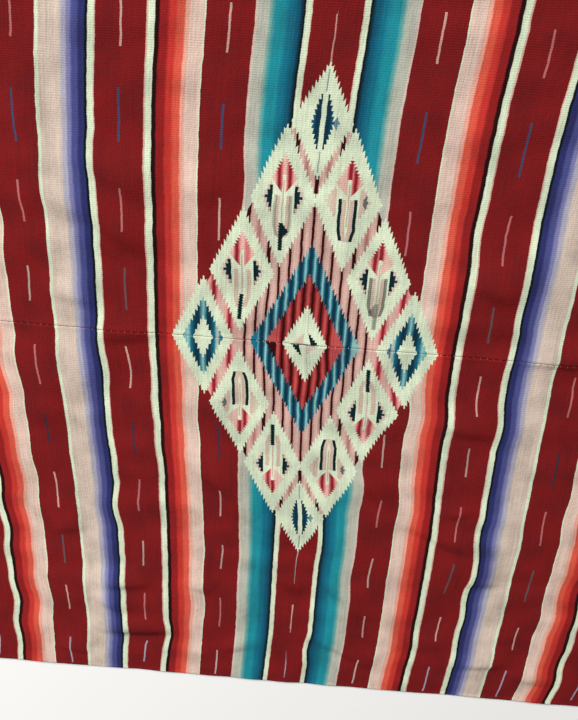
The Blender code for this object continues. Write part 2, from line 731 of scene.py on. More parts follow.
    def _ring(self, graph: Graph, below: Any, u: Value, v: Value) -> Socket:
        """The cream rhombi of the ring, each with its own figure.

        Args:
            graph: The material's graph.
            below: The colour beneath.
            u: The distance across the stripes.
            v: The distance along them.

        Returns:
            The colour with the ring.
        """
        across = abs(u)
        along = abs(v)
        place = along - across * self.slope
        steps = [place < gap for gap in self.gaps]
        x = across - stepped(steps, [r.u for r in self.ring])
        y = along - stepped(steps, [r.v for r in self.ring])
        height = stepped(steps, [r.half_height for r in self.ring])
        slope = stepped(steps, [r.half_height / r.half_width for r in self.ring])
        mask = self.teeth.covers(abs(y), height - abs(x) * slope, abs(x))
        quarter = (v < 0.0) * 2.0 + (u > 0.0)
        colour = self._tulip(graph, x, y, quarter + steps[1] * 4.0)
        leaves = self._leaves(graph, x, y, u)
        stepped_ring = self._stepped_ring(graph, x, y)
        colour = graph.mix(steps[0], leaves, colour)
        colour = graph.mix(steps[2], colour, stepped_ring)
        return graph.mix(mask, below, colour)

    def _tulip(self, graph: Graph, x: Value, y: Value, which: Value) -> Socket:
        """A tulip that points out along the stripes, between two leaves.

        Args:
            graph: The material's graph.
            x: The distance out from the rhombus's middle, across the stripes.
            y: The distance out from it, along them.
            which: Which row of the tulips' table holds.

        Returns:
            The colour inside the rhombus.
        """
        aside = abs(x)
        part = {
            name: graph.chart(which, [getattr(tulip, name) for tulip in self.tulips])
            for name in Tulip.__dataclass_fields__
        }
        step = self.small_teeth.along(y)
        colour = self._tulip_leaves(graph, x, y, part["dark_leaves"])
        colour = self._tulip_stem(graph, colour, x, y, step, part)
        roof = (self.head_top - y) * 0.58 + step * 1.3
        head = (aside < roof) * (aside < (y - self.head_foot) * 0.86)
        bars = (
            abs(x - 6.4).stretch(5.2, 0.9) * part["outer_bar"]
            | abs(x + 6.6).stretch(5.0, 0.8) * part["inner_bar"]
            | aside.stretch(4.4, 1.2) * (y > 26.0) * part["middle_bar"]
        )
        stops = (
            (0.0, Yarn.HEAD_PINK), (0.16, Yarn.TULIP_PINK), (0.52, Yarn.BERRY), (0.94, Yarn.CRIMSON)
        )
        colour = graph.mix(head, colour, graph.ramp(bars, stops, "LINEAR"))
        stem = aside.near(0.0, self.stem) * y.near(2.0, 25.0)
        colour = graph.mix(stem, colour, Yarn.CREAM)
        line = x.near(0.3, 0.8) * y.near(-4.0, 25.0)
        return graph.mix(line * 0.6, colour, Yarn.DUSTY_PINK)

    def _tulip_leaves(self, graph: Graph, x: Value, y: Value, dark: Value) -> Socket:
        """The leaf on each side, dark in a pale halo or all pale, cut off by the arm above it.

        Args:
            graph: The material's graph.
            x: The distance out from the rhombus's middle, across the stripes.
            y: The distance out from it, along them.
            dark: How dark the leaves are, from 0 to 1.

        Returns:
            The colour with the leaves.
        """
        from_stem = abs(x) - self.leaf_start
        from_middle = abs(y - self.leaf_middle)
        step = self.leaf_teeth.along(from_middle)
        below_arm = (y < abs(x) * 1.12 - 0.8) * (from_stem > 0.0)
        halo = below_arm * (from_stem < 13.5 - from_middle * 0.62 + step * 0.8)
        leaf = below_arm * (from_stem < 8.8 - from_middle * 0.50 + step * 0.9)
        tip = (x - 20.5).near(step * 0.4, 3.2 - from_middle * 0.34) * (1.0 - dark)
        shade = from_stem.stretch(2.5, 8.0)
        leaf_colour = graph.mix(shade, Yarn.BOTTLE_GREEN, Yarn.NAVY)
        inner = from_stem.stretch(12.0, 3.0) * 0.5 + 0.5
        colour = graph.mix(halo * inner, Yarn.CREAM, Yarn.SHADOW_PINK)
        colour = graph.mix(leaf * dark, colour, leaf_colour)
        return graph.mix(tip * 0.8, colour, Yarn.NAVY)

    def _tulip_stem(
        self, graph: Graph, below: Any, x: Value, y: Value, step: Value, part: dict[str, Value]
    ) -> Socket:
        """The stripes beside the stem, which close in towards the seam, and the stem's dark end.

        Args:
            graph: The material's graph.
            below: The colour beneath.
            x: The distance out from the rhombus's middle, across the stripes.
            y: The distance out from it, along them.
            step: How far a toothed edge stands out at y.
            part: How much the tulip has of each part.

        Returns:
            The colour with the stem.
        """
        waist = abs(x) + ((-33.0 - y) | 0.0) * 0.25
        middle = 7.8 - part["stem_lines"] * 3.0
        pale = waist.near(middle, 2.7) * y.near(-22.0, 25.0)
        colour = graph.mix(pale * 0.95, below, Yarn.SHADOW_PINK)
        lines = waist.near(9.2, 2.0) * y.near(-21.0, 25.0)
        colour = graph.mix(lines * part["stem_lines"], colour, Yarn.BOTTLE_GREEN)
        end = (x - step * 0.5).near(0.8, 2.6) * y.near(-47.0, 17.0)
        jag = (x < 0.0) * (x > abs(y + 40.0) * 0.8 - 8.5 - step * 0.6)
        end = end | jag * (part["stem_lines"] > 0.1)
        return graph.mix(end * part["stem_end"], colour, Yarn.BOTTLE_GREEN)

    def _leaves(self, graph: Graph, x: Value, y: Value, u: Value) -> Socket:
        """The two blue leaves at the medallion's tips.

        Args:
            graph: The material's graph.
            x: The distance out from the rhombus's middle, across the stripes.
            y: The distance out from it, along them.
            u: The distance across the stripes, which tells the sides apart.

        Returns:
            The colour inside the rhombus.
        """
        reach = 9.4 - abs(y) * 0.16 - y * y * 0.0045 + self.leaf_teeth.along(abs(y)) * 0.75
        from_stem = x - 2.9
        shade = from_stem.stretch(4.5, 9.5)
        blue = graph.mix(shade, Yarn.NAVY, Yarn.STEEL_BLUE)
        colour = graph.mix((from_stem > 0.0) * (from_stem < reach), Yarn.CREAM, blue)
        ragged = self.leaf_teeth.along(abs(y)) * 0.4
        spark = (u > 0.0) * (x - 15.5).near(ragged, 3.4 - abs(y) * 0.42)
        colour = graph.mix(spark * 0.8, colour, Yarn.TEAL)
        axis = (x < 0.9) * abs(y).near(44.0, 12.0)
        return graph.mix(axis * 0.6, colour, Yarn.STEEL_BLUE)

    def _stepped_ring(self, graph: Graph, x: Value, y: Value) -> Socket:
        """The ring in each side point, shaded across from navy to sky blue.

        Args:
            graph: The material's graph.
            x: The distance out from the rhombus's middle, across the stripes.
            y: The distance out from it, along them.

        Returns:
            The colour inside the rhombus.
        """
        outer, inner = (shape.mask(abs(x), abs(y), self.teeth) for shape in self.side_ring)
        half = self.side_ring[0].half_width
        stops = [((place + half) / (half * 2.0), yarn) for place, yarn in self.side_shades]
        shades = graph.ramp((x + half) / (half * 2.0), stops, "LINEAR")
        return graph.mix(outer * (~inner), Yarn.CREAM, shades)


# ----- Finishes -----


def new_material(name: str) -> tuple[bpy.types.Material, Graph, bpy.types.Node]:
    """Start a material.

    Args:
        name: The material's name.

    Returns:
        The material, its graph and its Principled BSDF node.
    """
    material = bpy.data.materials.new(name)
    material.use_nodes = True
    tree = material.node_tree
    return material, Graph(tree), tree.nodes["Principled BSDF"]


@dataclass(frozen=True)
class TapestryFinish:
    """Weft-faced wool tapestry: the chart's colours on ribbed, hairy yarn."""

    name: str = "wool_tapestry"
    rib_pitch: float = 2.5  # from warp to warp
    weft_pitch: float = 1.3
    roughness: float = 0.88
    relief: float = 0.0006
    rib_height: float = 0.11  # these three are parts of the relief
    pick_height: float = 0.09
    lump_height: float = 1.0
    # the dark colour of the uneven dye, and of the painted shade between the ribs
    shadow: Colour = (0.012, 0.008, 0.010, 1.0)
    stripes: Stripes = Stripes()
    dashes: Dashes = Dashes()
    medallion: Medallion = Medallion()

    def material(self) -> bpy.types.Material:
        """Build the material, which reads the cloth's own "weave" map.

        Returns:
            The material.
        """
        material, graph, shader = new_material(self.name)
        weave = graph.node("ShaderNodeUVMap", {"uv_map": "weave"})
        parts = graph.node("ShaderNodeSeparateXYZ", None, {0: weave.outputs[0]})
        u = Value(graph, parts.outputs[0]) * MM
        v = Value(graph, parts.outputs[1]) * MM
        height = self._relief(graph, u, v)
        drift = (graph.noise(u * 0.03, v * 0.07, 3.0) - 0.5) * 2.4
        fringe_of_pick = (graph.noise(u * 0.2, v * 0.5, 1.0) - 0.5) * 0.7
        charted_u = u + drift + fringe_of_pick
        charted_v = v + (graph.noise(u * 0.04 + 40.0, v * 0.04, 2.0) - 0.5) * 3.0
        colour = self.stripes.paint(graph, charted_u)
        colour = self.dashes.paint(graph, colour, charted_u, v, self.stripes)
        colour = self.medallion.paint(graph, colour, charted_u, charted_v)
        colour = self._wool(graph, colour, u, v, height)
        graph.feed(shader.inputs["Base Color"], colour)
        rough = self.roughness + (graph.noise(u * 0.1, v * 0.1) - 0.5) * 0.12
        graph.feed(shader.inputs["Roughness"], rough)
        sockets = {"Height": height, "Distance": self.relief, "Strength": 1.0}
        graph.feed(shader.inputs["Normal"], graph.node("ShaderNodeBump", None, sockets).outputs[0])
        shader.inputs["Specular IOR Level"].default_value = 0.03
        return material

    def _relief(self, graph: Graph, u: Value, v: Value) -> Value:
        """The height of the yarn: ribs over the warps, crossed by single picks.

        Args:
            graph: The material's graph.
            u: The distance across the stripes.
            v: The distance along them.

        Returns:
            The height, in parts of the relief.
        """
        wander = graph.noise(u * 0.02, v * 0.04, 1.0) * 9.0
        rib = (v * (math.tau / self.rib_pitch) + wander).sine()
        half_turn = (v / self.rib_pitch).floor() * math.pi
        pick = (u * (math.tau / self.weft_pitch) + half_turn).sine()
        lumps = graph.noise(u * 0.55, v * 0.16, 3.0) - 0.5
        return rib * self.rib_height + pick * self.pick_height + lumps * self.lump_height

    def _wool(self, graph: Graph, colour: Any, u: Value, v: Value, height: Value) -> Socket:
        """Uneven dye from pick to pick, painted shade between the ribs and pale stray hairs.

        Args:
            graph: The material's graph.
            colour: The colour of the design.
            u: The distance across the stripes.
            v: The distance along them.
            height: The height of the yarn.

        Returns:
            The colour of the wool.
        """
        picks = graph.noise(u * 0.55, v * 0.012, 4.0).stretch(0.40, 0.80)
        clouds = graph.noise(u * 0.026, v * 0.022, 4.0).stretch(0.42, 0.72)
        # painted shade: the colour darkens where the yarn's relief is low, between the ribs and picks
        painted_rib_shade = height.stretch(0.20, -0.55)
        dark = picks * 0.24 + clouds * 0.27 + painted_rib_shade * 0.12
        colour = graph.mix(dark, colour, self.shadow)
        hairs = graph.noise(u * 0.35, v * 1.6, 4.0, 3.0).stretch(0.56, 0.80)
        colour = graph.mix(hairs * 0.04, colour, Yarn.BLUSH)
        lint = graph.noise(u * 0.13, v * 0.13, 1.0, 9.0).stretch(0.845, 0.86)
        return graph.mix(lint * 0.7, colour, Yarn.CREAM)


@dataclass(frozen=True)
class CordFinish:
    """Twisted undyed cotton, with its fibres showing along the cord."""

    name: str = "cotton_cord"
    yarn: Yarn = Yarn.COTTON
    fibre: float = 900.0  # fibres to a metre across the cord
    roughness: float = 0.94
    relief: float = 0.0006
    soil: Colour = (0.16, 0.12, 0.08, 1.0)

    def material(self) -> bpy.types.Material:
        """Build the material, which reads Object coordinates.

        Returns:
            The material.
        """
        material, graph, shader = new_material(self.name)
        place = graph.node("ShaderNodeTexCoord").outputs["Object"]
        parts = graph.node("ShaderNodeSeparateXYZ", None, {0: place})
        x, y, z = (Value(graph, parts.outputs[k]) * self.fibre for k in range(3))
        slant = y + x * 0.45
        grain = graph.noise(x * 0.16, slant, 3.0, z)
        soil = graph.noise(x * 0.02, y * 0.02, 2.0)
        dark = grain.stretch(0.65, 0.30) * 0.32 + soil.stretch(0.45, 0.75) * 0.16
        colour = graph.mix(dark, self.yarn, self.soil)
        graph.feed(shader.inputs["Base Color"], colour)
        graph.feed(shader.inputs["Roughness"], self.roughness - grain * 0.1)
        sockets = {"Height": grain, "Distance": self.relief, "Strength": 0.8}
        graph.feed(shader.inputs["Normal"], graph.node("ShaderNodeBump", None, sockets).outputs[0])
        shader.inputs["Specular IOR Level"].default_value = 0.2
        shader.inputs["Sheen Weight"].default_value = 0.1
        return material


@dataclass(frozen=True)
class SeamThreadFinish:
    """The wool thread of the seam: dusty red, and cream where it crosses the medallion."""

    name: str = "seam_thread"
    medallion_reach: float = 0.168

    def material(self) -> bpy.types.Material:
        """Build the material, which reads Object coordinates.

        Returns:
            The material.
        """
        material, graph, shader = new_material(self.name)
        place = graph.node("ShaderNodeTexCoord").outputs["Object"]
        x = graph.value("ShaderNodeSeparateXYZ", None, {0: place})
        grain = graph.noise(x * 1500.0, x * 90.0, 2.0)
        red = graph.mix(grain, Yarn.RED, Yarn.DUSTY_PINK)
        colour = graph.mix(abs(x) < self.medallion_reach, red, Yarn.SHADOW_PINK)
        graph.feed(shader.inputs["Base Color"], colour)
        graph.feed(shader.inputs["Roughness"], 0.8 + grain * 0.15)
        shader.inputs["Specular IOR Level"].default_value = 0.2
        return material


# ----- How the cloth lies -----


class Fold(Enum):
    """The section of a crease across its length."""

    RIDGE = "one soft hump"
    TUCK = "a hump with one steep side"


@dataclass(frozen=True)
class Crease:
    """A soft rise of the cloth, by its middle, its turn from +X in degrees and its half sizes."""

    CREST: ClassVar[float] = -0.36  # where a tuck is highest, from -1 to 1 across it

    x: float
    y: float
    turn: float
    half_length: float
    half_width: float
    height: float
    fold: Fold = Fold.RIDGE

    def lift(self, x: np.ndarray, y: np.ndarray) -> np.ndarray:
        """How high it lifts the cloth at points.

        Args:
            x: The points' x places, in metres.
            y: Their y places.

        Returns:
            The heights, in metres.
        """
        angle = math.radians(self.turn)
        away_x = x - self.x
        away_y = y - self.y
        along = (away_x * math.cos(angle) + away_y * math.sin(angle)) / self.half_length
        across = (away_y * math.cos(angle) - away_x * math.sin(angle)) / self.half_width
        if self.fold is Fold.RIDGE:
            reach = np.clip(1.0 - along**2 - across**2, 0.0, None)
            return self.height * reach**2
        ends = np.clip(1.0 - along**2, 0.0, None) ** 1.5
        from_crest = across - self.CREST
        reach = np.where(from_crest > 0.0, 1.0 - self.CREST, 1.0 + self.CREST)
        hump = 0.5 + 0.5 * np.cos(math.pi * np.clip(from_crest / reach, -1.0, 1.0))
        return self.height * ends * hump


# The broad ridges, which the solid cloth has too
RIDGES = (
    Crease(-0.290, 0.175, -38.0, 0.130, 0.070, 0.0050),
    Crease(-0.335, -0.060, 24.0, 0.150, 0.075, 0.0045),
    Crease(-0.165, -0.190, -33.0, 0.120, 0.065, 0.0040),
    Crease(-0.265, -0.455, -12.0, 0.170, 0.070, 0.0060),
    Crease(0.070, -0.470, 40.0, 0.140, 0.070, 0.0040),
    Crease(0.250, -0.330, 68.0, 0.140, 0.070, 0.0045),
    Crease(0.245, 0.100, 28.0, 0.150, 0.070, 0.0050),
    Crease(0.330, 0.420, -30.0, 0.170, 0.080, 0.0045),
    Crease(-0.420, 0.440, 18.0, 0.180, 0.080, 0.0050),
    Crease(-0.800, 0.270, 74.0, 0.190, 0.085, 0.0055),
    Crease(-0.690, -0.310, -50.0, 0.200, 0.090, 0.0060),
    Crease(0.720, 0.230, 57.0, 0.190, 0.090, 0.0055),
    Crease(0.830, -0.350, -66.0, 0.180, 0.085, 0.0050),
    Crease(0.560, -0.180, 14.0, 0.190, 0.080, 0.0045),
)

# Finer tucks, as middle x, middle y, turn, half length, half width and height
TUCKS = (
    (-0.240, 0.208, -30.0, 0.061, 0.037, 0.0061),
    (-0.238, 0.146, -31.0, 0.061, 0.037, 0.0061),
    (-0.308, 0.175, -45.0, 0.044, 0.037, 0.0046),
    (-0.147, 0.198, -35.0, 0.033, 0.029, 0.0032),
    (-0.100, -0.212, -43.0, 0.083, 0.040, 0.0070),
    (-0.243, -0.505, 3.0, 0.072, 0.031, 0.0078),
    (-0.258, -0.410, 3.0, 0.050, 0.029, 0.0065),
    (-0.245, 0.007, 5.0, 0.055, 0.029, 0.0046),
    (-0.305, 0.055, -12.0, 0.044, 0.029, 0.0040),
    (0.222, 0.105, -20.0, 0.050, 0.031, 0.0053),
    (0.228, -0.095, -8.0, 0.050, 0.031, 0.0053),
    (0.112, -0.205, -45.0, 0.055, 0.031, 0.0061),
    (0.210, -0.278, -22.0, 0.083, 0.027, 0.0049),
    (0.075, -0.390, -48.0, 0.083, 0.031, 0.0065),
    (0.002, -0.387, -33.0, 0.037, 0.027, 0.0032),
    (0.100, -0.520, -28.0, 0.088, 0.027, 0.0053),
    (-0.350, -0.129, -75.0, 0.051, 0.037, 0.0049),
    (-0.271, -0.455, -40.0, 0.037, 0.027, 0.0053),
    (-0.335, -0.316, 10.0, 0.031, 0.025, 0.0037),
    (-0.343, -0.560, -8.0, 0.033, 0.025, 0.0046),
    (-0.139, -0.410, -20.0, 0.031, 0.025, 0.0037),
    (-0.081, -0.530, 14.0, 0.033, 0.025, 0.0040),
    (0.320, 0.020, 2.0, 0.055, 0.031, 0.0061),
    (0.288, -0.355, 2.0, 0.037, 0.027, 0.0049),
    (0.315, -0.520, 5.0, 0.055, 0.031, 0.0061),
    (0.232, -0.232, 12.0, 0.031, 0.025, 0.0037),
    (-0.620, 0.330, -20.0, 0.060, 0.024, 0.0034),
    (-0.930, 0.050, 60.0, 0.055, 0.024, 0.0030),
    (-0.750, -0.080, -35.0, 0.050, 0.022, 0.0028),
    (-0.550, 0.520, 12.0, 0.046, 0.022, 0.0028),
    (-0.880, -0.480, 20.0, 0.060, 0.024, 0.0034),
    (-0.480, -0.280, -50.0, 0.046, 0.022, 0.0028),
    (-0.150, 0.550, 15.0, 0.048, 0.022, 0.0026),
    (0.100, 0.500, -22.0, 0.052, 0.022, 0.0028),
    (0.300, 0.270, -40.0, 0.044, 0.020, 0.0026),
    (0.470, 0.120, -28.0, 0.050, 0.022, 0.0030),
    (0.550, 0.500, 35.0, 0.048, 0.022, 0.0028),
    (0.780, 0.020, -15.0, 0.055, 0.024, 0.0030),
    (0.920, 0.420, -60.0, 0.052, 0.024, 0.0032),
    (0.620, -0.420, 30.0, 0.055, 0.024, 0.0034),
    (0.950, -0.150, 48.0, 0.048, 0.022, 0.0028),
    (0.400, -0.550, -12.0, 0.050, 0.022, 0.0030),
)

# How far the cloth is pulled towards +X: y in metres, then the pull in millimetres
SWAY = (
    (-0.62, 2.0), (-0.50, 7.0), (-0.42, 6.0), (-0.30, 5.0), (-0.20, 0.0),
    (-0.10, -4.0), (-0.03, -8.0), (0.12, -9.0), (0.22, -10.0), (0.30, -8.0),
    (0.36, -3.0), (0.50, 2.0), (0.62, 0.0),
)

# Where a stripe is tugged aside by itself: x, y and the tug towards +X, all in millimetres
TUGS = (
    (-259.0, 220.0, -2.0), (-259.0, 145.0, 2.0), (-262.0, -20.0, -2.0),
    (-250.0, -50.0, 2.0), (-240.0, -105.0, -3.5), (-255.0, -150.0, -3.0),
    (-139.0, -120.0, -3.0), (-203.0, -210.0, 2.0), (-255.0, -280.0, -6.0),
    (-87.0, 200.0, 2.5), (-110.0, -350.0, 2.5), (-139.0, -460.0, 3.0),
    (-203.0, -520.0, 5.0), (-259.0, -525.0, 2.0), (-203.0, -600.0, -2.0),
    (10.0, -45.0, 3.0), (-84.0, 75.0, 2.0), (-84.0, -75.0, 1.5),
    (100.0, -80.0, 2.0), (10.0, -280.0, 2.5), (30.0, -320.0, 3.0),
    (30.0, -530.0, -4.0), (87.0, -220.0, 4.5), (100.0, -380.0, -2.5),
    (139.0, -90.0, 4.0), (150.0, -240.0, 4.0), (195.0, 160.0, -2.5),
    (210.0, -100.0, 2.5), (259.0, 20.0, 2.5), (262.0, -100.0, 3.5),
    (259.0, -280.0, -3.5), (259.0, -340.0, 2.5), (259.0, -400.0, -3.0),
    (259.0, -480.0, -3.0), (195.0, -520.0, 2.0),
)


@dataclass(frozen=True)
class Drape:
    """How the cloth lies: what lifts it off the surface, and what pulls its stripes aside."""

    tug_reach: tuple[float, float] = (0.062, 0.042)
    pucker: float = 0.0004
    pucker_reach: float = 0.016
    swell: float = 0.0003
    rumple: float = 0.0008  # of the low waves all over the cloth
    ripple: float = 0.0016  # of the stripes far from the middle

    def height(self, x: np.ndarray, y: np.ndarray) -> np.ndarray:
        """How high the underside stands off the surface at points.

        Args:
            x: The points' x places, in metres.
            y: Their y places.

        Returns:
            The heights, in metres.
        """
        solid = np.max([ridge.lift(x, y) for ridge in RIDGES], axis=0)
        fine = sum(Crease(*row, Fold.TUCK).lift(x, y) for row in TUCKS)
        swell = self.swell * (1.0 + np.sin(x * 23.0 + 1.0) * np.cos(y * 31.0 + x * 9.0))
        turned = x * 0.6 + y * 0.8
        waves = np.sin(turned * 74.0 + 2.2 * np.sin(x * 11.0)) * np.sin(x * 37.0 - y * 21.0 + 0.8)
        crossed = y * 0.9 - x * 0.4
        waves = waves + 0.7 * np.sin(crossed * 96.0 + 2.6 * np.sin(turned * 27.0 + 1.9))
        rumple = self.rumple * (1.7 + waves)
        near_seam = np.exp(-((y / self.pucker_reach) ** 2))
        pucker = self.pucker * near_seam * (1.0 + np.sin(x * 190.0 + 2.0 * np.sin(x * 41.0)))
        return solid + fine + swell + rumple + pucker

    def chart_u(self, x: np.ndarray, y: np.ndarray) -> np.ndarray:
        """Which place across the stripes lies at points, in metres from the middle.

        Args:
            x: The points' x places, in metres.
            y: Their y places.

        Returns:
            The places on the chart.
        """
        rows = np.array(SWAY)
        finer = np.linspace(rows[0, 0], rows[-1, 0], 200)
        eased = np.convolve(np.pad(np.interp(finer, rows[:, 0], rows[:, 1]), 8, "edge"),
                            np.hanning(19)[1:-1] / np.hanning(19).sum(), "same")[8:-8]
        shift = np.interp(y, finer, eased) / MM
        for tug_x, tug_y, tug in TUGS:
            away_x = (x - tug_x / MM) / self.tug_reach[0]
            away_y = (y - tug_y / MM) / self.tug_reach[1]
            shift = shift + tug / MM * np.clip(1.0 - away_x**2 - away_y**2, 0.0, None) ** 2
        outer = np.clip((np.abs(x) - 0.30) / 0.10, 0.0, 1.0)
        waves = np.sin(y * 52.0 + x * 13.0) + 0.7 * np.sin(y * 83.0 - x * 21.0 + 1.3)
        return x - shift - self.ripple * outer * waves


# ----- Pieces -----


def add_piece(name: str, mesh: bpy.types.Mesh) -> bpy.types.Object:
    """Put a mesh into the scene as a smooth-shaded object at the origin.

    Args:
        name: The object's name.
        mesh: Its mesh.

    Returns:
        The object.
    """
    piece = bpy.data.objects.new(name, mesh)
    bpy.context.scene.collection.objects.link(piece)
    mesh.polygons.foreach_set("use_smooth", [True] * len(mesh.polygons))
    return piece


def report(piece: bpy.types.Object) -> None:
    """Log a finished piece with its size."""
    triangles = sum(len(face.vertices) - 2 for face in piece.data.polygons)
    LOG.info("%s: %d triangles, %s", piece.name, triangles, [round(s, 4) for s in piece.dimensions])


@dataclass(frozen=True)
class BakeStrip:
    """Where half of one face of a panel lies on its bake map, between two heights of the map."""

    low: float
    high: float


@dataclass
class Panel:
    """One loom width of tapestry: a closed wall of cloth with rounded edges."""

    node: str
    drape: Drape
    wall: float = 0.002
    edge_round: float = 0.0002  # how far the flat faces stop short of the edge
    seam_gap: float = 0.00004  # left between the panels where they are sewn together
    bead: float = 0.0005  # extra thickness of the corded selvedge
    bead_width: float = 0.005
    fine_cell: float = 0.0043
    coarse_cell: float = 0.0112
    fine_reach: float = 0.46
    edge_rows: tuple[float, ...] = (0.0, 0.0012, 0.0026)  # from each selvedge
    edge_strip: float = 0.0048  # where the even rows start
    rim_width: float = 0.004  # of each rim strip on the bake map
    denser: float = 0.18  # half the width of the medallion, which the bake map enlarges
    piece: bpy.types.Object = field(init=False)

    def __post_init__(self) -> None:
        """Read the panel's place from its solid."""
        low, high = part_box(self.node)
        self.low = (low[0], self.seam_gap / 2.0 if low[1] > 0.0 else low[1])
        self.high = (high[0], -self.seam_gap / 2.0 if high[1] < 0.0 else high[1])

    def build(self, material: bpy.types.Material) -> bpy.types.Object:
        """Make the panel's mesh, with its chart and bake maps.

        Args:
            material: The tapestry's material.

        Returns:
            The panel, named for its place.
        """
        xs = self._columns()
        ys = self._rows()
        x, y = (axis.ravel() for axis in np.meshgrid(xs, ys, indexing="ij"))
        under = self.drape.height(x, y)
        over = under + self.wall + self._selvedge(y)
        ring = self._ring(len(xs), len(ys))
        rim_x, rim_y = self._rim(x[ring], y[ring])
        rim_z = (under[ring] + over[ring]) / 2.0
        count = len(x)
        points = np.concatenate(
            [
                np.column_stack([x, y, over]),
                np.column_stack([x, y, under]),
                np.column_stack([rim_x, rim_y, rim_z]),
            ]
        )
        top = self._grid(len(xs), len(ys))
        middle = np.arange(len(ring)) + 2 * count
        following = np.roll(np.arange(len(ring)), -1)
        upper_rim = np.column_stack([ring, middle, middle[following], ring[following]])
        lower_rim = np.column_stack([middle, ring + count, ring[following] + count,
                                     middle[following]])
        faces = np.concatenate([top, top[:, ::-1] + count, upper_rim, lower_rim])
        mesh = bpy.data.meshes.new(self.node + "_tapestry")
        mesh.from_pydata(points.tolist(), [], faces.tolist())
        self._chart_map(mesh, points, faces)
        self._bake_map(mesh, points, faces, len(top), len(ring))
        mesh.materials.append(material)
        mesh.validate()
        self.piece = add_piece(self.node + "_tapestry", mesh)
        return self.piece

    def _columns(self) -> np.ndarray:
        """The grid's x places, close together about the middle and with one at 0.

        Returns:
            The places, in order.
        """
        end = self.high[0] - self.edge_round
        inner = np.linspace(0.0, self.fine_reach, round(self.fine_reach / self.fine_cell) + 1)
        rest = end - self.fine_reach
        outer = self.fine_reach + np.linspace(0.0, rest, round(rest / self.coarse_cell) + 1)[1:]
        half = np.concatenate([inner, outer])
        return np.concatenate([-half[:0:-1], half])

    def _rows(self) -> np.ndarray:
        """The grid's y places, with narrow rows along both selvedges.

        Returns:
            The places, in order.
        """
        start = self.low[1] + self.edge_round
        end = self.high[1] - self.edge_round
        narrow = np.array(self.edge_rows)
        count = round((end - start) / self.fine_cell) - 1
        between = np.linspace(start + self.edge_strip, end - self.edge_strip, count)
        return np.concatenate([start + narrow, between, (end - narrow)[::-1]])

    def _selvedge(self, y: np.ndarray) -> np.ndarray:
        """The extra thickness near both selvedges."""
        inside = np.minimum(y - self.low[1], self.high[1] - y) / self.bead_width
        return self.bead * np.where(inside < 1.0, np.sin(math.pi * inside.clip(0.0, 1.0)), 0.0)

    @staticmethod
    def _grid(columns: int, rows: int) -> np.ndarray:
        """The faces of a grid, seen from above, with points counted along y first.

        Args:
            columns: How many points it has along x.
            rows: How many it has along y.

        Returns:
            The four corners of each face.
        """
        start = np.arange(columns - 1)[:, None] * rows + np.arange(rows - 1)[None, :]
        start = start.ravel()
        return np.column_stack([start, start + rows, start + rows + 1, start + 1])

    @staticmethod
    def _ring(columns: int, rows: int) -> np.ndarray:
        """The grid's border points in order, anticlockwise from above.

        Args:
            columns: How many points the grid has along x.
            rows: How many it has along y.

        Returns:
            The points' numbers.
        """
        bottom = np.arange(columns - 1) * rows
        right = (columns - 1) * rows + np.arange(rows - 1)
        top = np.arange(columns - 1, 0, -1) * rows + rows - 1
        left = np.arange(rows - 1, 0, -1)
        return np.concatenate([bottom, right, top, left])

    def _rim(self, x: np.ndarray, y: np.ndarray) -> tuple[np.ndarray, np.ndarray]:
        """Border points moved out to the panel's true edge.

        Args:
            x: The border points' x places.
            y: Their y places.

        Returns:
            Both places, moved.
        """
        step = self.edge_round * 1.01
        out_x = np.where(x < self.low[0] + step, self.low[0], x)
        out_x = np.where(x > self.high[0] - step, self.high[0], out_x)
        out_y = np.where(y < self.low[1] + step, self.low[1], y)
        out_y = np.where(y > self.high[1] - step, self.high[1], out_y)
        return out_x, out_y

    def _chart_map(self, mesh: bpy.types.Mesh, points: np.ndarray, faces: np.ndarray) -> None:
        """Add the map of the weaver's chart, in metres, which both faces share.

        Args:
            mesh: The panel's mesh.
            points: Its points.
            faces: The four corners of each face.
        """
        chart = np.column_stack([self.drape.chart_u(points[:, 0], points[:, 1]), points[:, 1]])
        layer = mesh.uv_layers.new(name="weave")
        layer.data.foreach_set("uv", chart[faces.ravel()].astype(np.float32).ravel())

    def _bake_map(
        self, mesh: bpy.types.Mesh, points: np.ndarray, faces: np.ndarray, top: int, ring: int
    ) -> None:
        """Add a map without overlaps: two strips for the upper face, two narrow ones below.

        Args:
            mesh: The panel's mesh.
            points: Its points.
            faces: The four corners of each face.
            top: How many faces the upper side has.
            ring: How many points its border has.
        """
        corner = points[faces]
        half = corner[:, :, 0].mean(axis=1) > 0.0
        lower = np.zeros(len(faces), bool)
        lower[top : 2 * top] = True
        across = np.abs(corner[:, :, 0])
        stretched = across + np.minimum(across, self.denser)
        end = self.high[0] + self.denser
        along = (corner[:, :, 1] - self.low[1]) / (self.high[1] - self.low[1])
        strips = (BakeStrip(0.010, 0.390), BakeStrip(0.410, 0.790),
                  BakeStrip(0.810, 0.890), BakeStrip(0.905, 0.985))
        which = half.astype(int) + 2 * lower
        low = np.array([strip.low for strip in strips])[which][:, None]
        high = np.array([strip.high for strip in strips])[which][:, None]
        s = 0.003 + stretched / end * 0.984
        t = low + along * (high - low)
        rim = np.arange(2 * top, len(faces))
        sideways = np.abs(np.ptp(corner[rim, :, 0], axis=1)) > self.edge_round * 2.0
        outward = np.where(along[rim].mean(axis=1) > 0.5, 1.0, -1.0)
        level = np.array([[0, 1, 1, 0]] * ring + [[1, 2, 2, 1]] * ring) * self.rim_width
        t[rim] += level * (sideways * outward)[:, None]
        s[rim] += level * (~sideways)[:, None]
        layer = mesh.uv_layers.new(name="OFBake")
        flat = np.stack([s, t], axis=-1).astype(np.float32)
        layer.data.foreach_set("uv", flat.ravel())


class RowEnd(Enum):
    """Which end of a panel a run of fringe hangs from."""

    LEFT = -1.0
    RIGHT = 1.0


